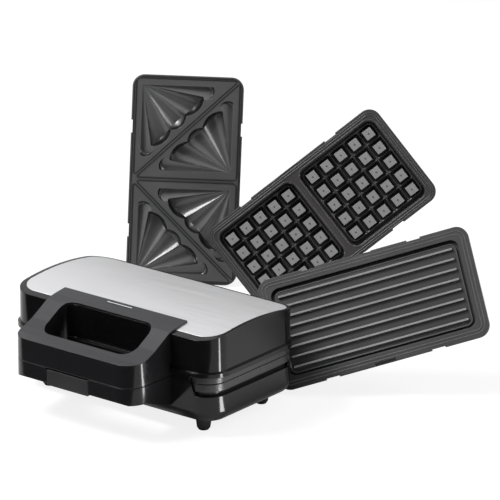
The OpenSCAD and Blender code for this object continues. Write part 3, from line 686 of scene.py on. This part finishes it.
class MAKER_OT_waffle_ridges(Operator):
    """Add the ridges between the waffle studs and the beads round the cells"""
    bl_idname = "maker.waffle_ridges"
    bl_label = "Ridges of the waffle plate"

    def execute(self, context):
        sizes = context.scene.maker_sizes
        cell_w = (sizes.plate_length - 2 * WAFFLE_FLANGE - WAFFLE_WEB) / 2
        cell_d = sizes.plate_width - 2 * WAFFLE_FLANGE
        parts = []
        for side in (-1, 1):
            x = side * (cell_w + WAFFLE_WEB) / 2
            outset = 1.5 * MM
            edge = flat_outline((x, 0), cell_w + 2 * outset, cell_d + 2 * outset,
                                radius=10.5 * MM)
            parts.append(bead_along(edge, radius=0.55 * MM))
            parts.extend(self.field(x, cell_d - 2 * WAFFLE_MOAT))
        parts.extend(rim_beads(sizes, (3 * MM, 0.5 * MM), (5.2 * MM, 0.6 * MM)))
        ridges = joined(parts, "waffle_plate_ridges")
        put(ridges, plate_places(sizes)["waffle_plate"])
        coat = bpy.data.materials["ridge_coating"]
        finished(ridges, "waffle_plate", coat)
        return {"FINISHED"}

    def field(self, x, size):
        """The bead at the foot of a field of studs, its ridges and its pips."""
        foot = flat_outline((x, 0), size - 1 * MM, size - 1 * MM, radius=6 * MM)
        parts = [bead_along(foot, radius=1.1 * MM, height=WAFFLE_FLOOR + 1.6 * MM)]
        pitch, run = size / WAFFLE_STUDS, size - 2 * MM
        for line in range(1, WAFFLE_STUDS):
            offset = (line - WAFFLE_STUDS / 2) * pitch
            parts.append(self.ridge((x + offset, 0), run, along_y=True))
            parts.append(self.ridge((x, offset), run, along_y=False))
        middles = [(i - (WAFFLE_STUDS - 1) / 2) * pitch for i in range(WAFFLE_STUDS)]
        for across in middles:
            for along in middles:
                parts.append(self.pip((x + across, along)))
        return parts

    def ridge(self, centre, run, along_y):
        """A low wedge on the cell's floor, narrow at its top."""
        size, below, narrowing = 2.6 * MM, 0.1 * MM, 0.35
        nothing_selected()
        bpy.ops.mesh.primitive_cube_add(
            size=1, location=(*centre, WAFFLE_FLOOR - below + size / 2))
        ridge = bpy.context.object
        ridge.scale = (size, run, size)
        if not along_y:
            ridge.rotation_euler.z = math.pi / 2
        bpy.ops.object.mode_set(mode="EDIT")
        bpy.ops.mesh.select_all(action="DESELECT")
        bpy.ops.object.mode_set(mode="OBJECT")
        for face in ridge.data.polygons:
            face.select = face.normal.z > 0.5
        bpy.ops.object.mode_set(mode="EDIT")
        bpy.ops.mesh.select_mode(type="FACE")
        bpy.ops.transform.resize(value=(narrowing, 1, 1), orient_type="LOCAL")
        bpy.ops.object.mode_set(mode="OBJECT")
        return ridge

    def pip(self, centre):
        """The small raised mark in the middle of a stud."""
        height = 0.5 * MM
        nothing_selected()
        bpy.ops.mesh.primitive_cone_add(
            vertices=8, radius1=0.9 * MM, radius2=0.5 * MM, depth=height,
            location=(*centre, WAFFLE_TOP + height / 2))
        return bpy.context.object


class MAKER_OT_grill_rims(Operator):
    """Add the rim beads of the grill plate and the round crests of its ribs"""
    bl_idname = "maker.grill_rims"
    bl_label = "Rims and crests of the grill plate"

    def execute(self, context):
        sizes = context.scene.maker_sizes
        bed_w = sizes.plate_length - 2 * GRILL_FLANGE
        bed_d = sizes.plate_width - 2 * GRILL_FLANGE
        parts = rim_beads(sizes, (4.2 * MM, 0.55 * MM), (7.6 * MM, 0.6 * MM))
        inner = flat_outline((0, 0), bed_w + 0.4 * MM, bed_d + 0.4 * MM, radius=6 * MM)
        parts.append(bead_along(inner, radius=0.7 * MM, height=-3 * MM))
        thick, short = 0.45 * MM, 3.5 * MM
        crests = []
        for rib in range(GRILL_RIBS):
            y = (rib - (GRILL_RIBS - 1) / 2) * bed_d / GRILL_RIBS
            crest = flat_outline((0, y), bed_w - 2 * short, 1 * MM, radius=thick)
            crests.append(bead_along(crest, radius=thick, height=-0.3 * MM))
        # The crests take a painted highlight, the rims the ridges' coating.
        for pieces, name, coat in ((parts, "grill_plate_rims", "ridge_coating"),
                                   (crests, "grill_plate_crests", "crest_painted_highlight")):
            piece = joined(pieces, name)
            put(piece, plate_places(sizes)["grill_plate"])
            finished(piece, "grill_plate", bpy.data.materials[coat])
        return {"FINISHED"}


class MAKER_OT_inside(Operator):
    """Finish the feet, the fasteners and everything inside the housings"""
    bl_idname = "maker.inside"
    bl_label = "Feet, fasteners and inner parts"

    def execute(self, context):
        tints = context.scene.maker_colours
        dress(rubber("foot_rubber", tints.rubber), "rubber_feet")
        dress(plain_metal("bright_steel", tints.steel, roughness=0.28), "hinge_pins",
              "latch_pin", "latch_spring", "lower_catch_spring", "upper_catch_spring")
        dress(plain_metal("zinc_steel", lighter(tints.steel, 0.8), roughness=0.38),
              "base_screws", "lid_screws")
        dress(plain_metal("reflector_sheet", tints.sheet, roughness=0.35),
              "lower_reflector", "upper_reflector", "lower_element_clips",
              "upper_element_clips")
        dress(plain_metal("element_sheath", lighter(tints.steel, 0.45), roughness=0.5),
              "lower_element", "upper_element")
        dress(mottled("cream_ceramic", tints.ceramic, roughness=0.6, scale=300),
              "terminal_block", "thermal_fuse", "thermostat")
        dress(mottled("green_laminate", tints.laminate, roughness=0.45, scale=500),
              "lamp_holder")
        dress(mottled("lamp_glass", tints.lamp, roughness=0.2, scale=80),
              "indicator_lamps")
        dress(mottled("glass_sleeve", tints.sleeve, roughness=0.8, scale=1600),
              "base_wiring", "lid_wiring")
        return {"FINISHED"}


# ---- the stage -------------------------------------------------------------------

SET_MIDDLE = Vector((0.03, 0.06, 0.09))
FLOOR_BOUNCE, FLOOR_SEEN, FLOOR_GLOW = 0.92, 0.24, 0.84
FLAG_SHADE = 0.02
WORLD_FILL, WORLD_SEEN = 0.30, 1.0


def turned_to(place, aim, axis):
    """Rotation that points an axis from one place to another."""
    return (Vector(aim) - Vector(place)).to_track_quat(axis, "Y").to_euler()


def area_light(name, place, aim, width, height, power):
    """A rectangular light, turned towards a point, that the camera doesn't see."""
    data = bpy.data.lights.new(name, "AREA")
    data.shape = "RECTANGLE"
    data.size = width
    data.size_y = height
    data.energy = power
    lamp = bpy.data.objects.new(name, data)
    lamp.location = place
    lamp.rotation_euler = turned_to(place, aim, "-Z")
    lamp.visible_camera = False
    bpy.context.scene.collection.objects.link(lamp)


def floor_material():
    """Pale floor that shows white where no shadow falls."""
    finish = Finish("pale_floor")
    glow = finish.node("ShaderNodeEmission")
    seen = finish.node("ShaderNodeLightPath").outputs["Is Camera Ray"]
    shade = finish.mixed_colour(seen, (FLOOR_BOUNCE,) * 3, (FLOOR_SEEN,) * 3)
    finish.set(colour=shade, roughness=0.9, specular=0.0)
    finish.link(finish.maths("MULTIPLY", seen, FLOOR_GLOW), glow.inputs["Strength"])
    both = finish.node("ShaderNodeAddShader")
    finish.link(finish.shader.outputs[0], both.inputs[0])
    finish.link(glow.outputs[0], both.inputs[1])
    finish.link(both.outputs[0], finish.nodes["Material Output"].inputs["Surface"])
    return finish.material


def view_axes(view):
    """Unit vectors from the object to the camera, to its right and its up."""
    az, el = view.turn, view.rise
    back = Vector((math.sin(az) * math.cos(el), -math.cos(az) * math.cos(el),
                   math.sin(el)))
    right = Vector((math.cos(az), math.sin(az), 0))
    return back, right, back.cross(right)


def flag(name, place, facing, width, height, shade=FLAG_SHADE):
    """A studio card that only reflections see, turned towards a point."""
    nothing_selected()
    bpy.ops.mesh.primitive_plane_add(size=1, location=place)
    card = bpy.context.object
    card.name = name
    card.scale = (width, height, 1)
    card.rotation_euler = turned_to(place, facing, "Z")
    card.visible_camera = False
    card.visible_diffuse = False
    card.visible_shadow = False
    card.visible_transmission = False
    dull = Finish(name).set(colour=(shade,) * 3, roughness=1.0, specular=0.0)
    card.data.materials.append(dull)


class MAKER_OT_stage(Operator):
    """Set up the floor, the lights, the backdrop and the camera"""
    bl_idname = "maker.stage"
    bl_label = "Stage"

    def execute(self, context):
        scene = context.scene
        self.add_camera(scene, scene.maker_view)
        self.add_floor()
        self.add_flags(scene.maker_view)
        self.add_world(scene)
        self.add_lights(scene.maker_view)
        scene.view_settings.view_transform = "Standard"
        return {"FINISHED"}

    def add_camera(self, scene, view):
        back, right, up = view_axes(view)
        aim = Vector((0, 0, view.aim_height)) + right * view.aim_right + up * view.aim_up
        data = bpy.data.cameras.new("camera")
        data.lens = view.lens
        data.sensor_width = 36.0
        data.clip_end = 50.0
        camera = bpy.data.objects.new("camera", data)
        camera.location = aim + back * view.distance
        camera.rotation_euler = back.to_track_quat("Z", "Y").to_euler()
        scene.collection.objects.link(camera)
        scene.camera = camera

    def add_floor(self):
        nothing_selected()
        bpy.ops.mesh.primitive_plane_add(size=24)
        floor = bpy.context.object
        floor.name = "floor"
        floor.data.materials.append(floor_material())

    def add_flags(self, view):
        """Dark cards round the set that the polished walls and the coating mirror."""
        back, right, up = view_axes(view)
        flag("front_flag", SET_MIDDLE + back * 2.2 - up * 0.1, SET_MIDDLE,
             width=3.4, height=2.6)
        flag("floor_flag", (-0.45, -0.62, 0.0006), (-0.45, -0.62, 1),
             width=1.6, height=0.85)
        flag("back_flag", (-0.45, 1.3, 0.60), (0, 0, 0.1),
             width=1.2, height=1.0, shade=0.20)

    def add_world(self, scene):
        """White where it is seen or mirrored, and a weaker fill light elsewhere."""
        world = bpy.data.worlds.new("studio")
        world.use_nodes = True
        scene.world = world
        nodes, links = world.node_tree.nodes, world.node_tree.links
        rays = nodes.new("ShaderNodeLightPath").outputs
        seen = rays["Is Camera Ray"]
        for other in ("Is Transmission Ray", "Is Glossy Ray"):
            either = nodes.new("ShaderNodeMath")
            either.operation = "MAXIMUM"
            links.new(seen, either.inputs[0])
            links.new(rays[other], either.inputs[1])
            seen = either.outputs[0]
        strength = nodes.new("ShaderNodeMapRange")
        strength.inputs["To Min"].default_value = WORLD_FILL
        strength.inputs["To Max"].default_value = WORLD_SEEN
        links.new(seen, strength.inputs["Value"])
        background = nodes["Background"]
        background.inputs["Color"].default_value = (1, 1, 1, 1)
        links.new(strength.outputs["Result"], background.inputs["Strength"])

    def add_lights(self, view):
        """A key box high on the left, a weak fill, and a low strip on the right
        that draws a highlight on the lower walls."""
        back, right, up = view_axes(view)
        area_light("key_box", SET_MIDDLE - right * 1.2 + up * 1.5 + back * 0.7,
                   SET_MIDDLE, width=0.9, height=0.7, power=42)
        area_light("fill_box", SET_MIDDLE + right * 1.5 + up * 0.9 + back * 0.5,
                   SET_MIDDLE, width=0.7, height=0.7, power=10)
        area_light("corner_strip", (0.30, -0.03, 0.002), (0.30, -0.03, 1),
                   width=0.24, height=0.03, power=0.5)


class MAKER_PT_panel(Panel):
    bl_idname = "MAKER_PT_panel"
    bl_label = "Sandwich Maker"
    bl_space_type = "VIEW_3D"
    bl_region_type = "UI"
    bl_category = "Sandwich Maker"

    def draw(self, context):
        for operator in OPERATORS:
            self.layout.operator(operator.bl_idname)
        for group in (context.scene.maker_sizes, context.scene.maker_colours,
                      context.scene.maker_view):
            for name in group.__annotations__:
                self.layout.prop(group, name)


GROUPS = {"maker_sizes": MakerSizes, "maker_colours": MakerColours,
          "maker_view": MakerView}
OPERATORS = (MAKER_OT_housings, MAKER_OT_handles, MAKER_OT_bands, MAKER_OT_top,
             MAKER_OT_plates, MAKER_OT_shell_beads, MAKER_OT_waffle_ridges,
             MAKER_OT_grill_rims, MAKER_OT_inside, MAKER_OT_stage)
CLASSES = (*GROUPS.values(), *OPERATORS, MAKER_PT_panel)


def register():
    for cls in CLASSES:
        bpy.utils.register_class(cls)
    for name, group in GROUPS.items():
        setattr(bpy.types.Scene, name, PointerProperty(type=group))


def unregister():
    for name in GROUPS:
        delattr(bpy.types.Scene, name)
    for cls in reversed(CLASSES):
        bpy.utils.unregister_class(cls)


def run(operator):
    group, name = operator.bl_idname.split(".")
    getattr(getattr(bpy.ops, group), name)()


def main():
    register()
    for operator in OPERATORS:
        run(operator)


if __name__ == "__main__":
    main()
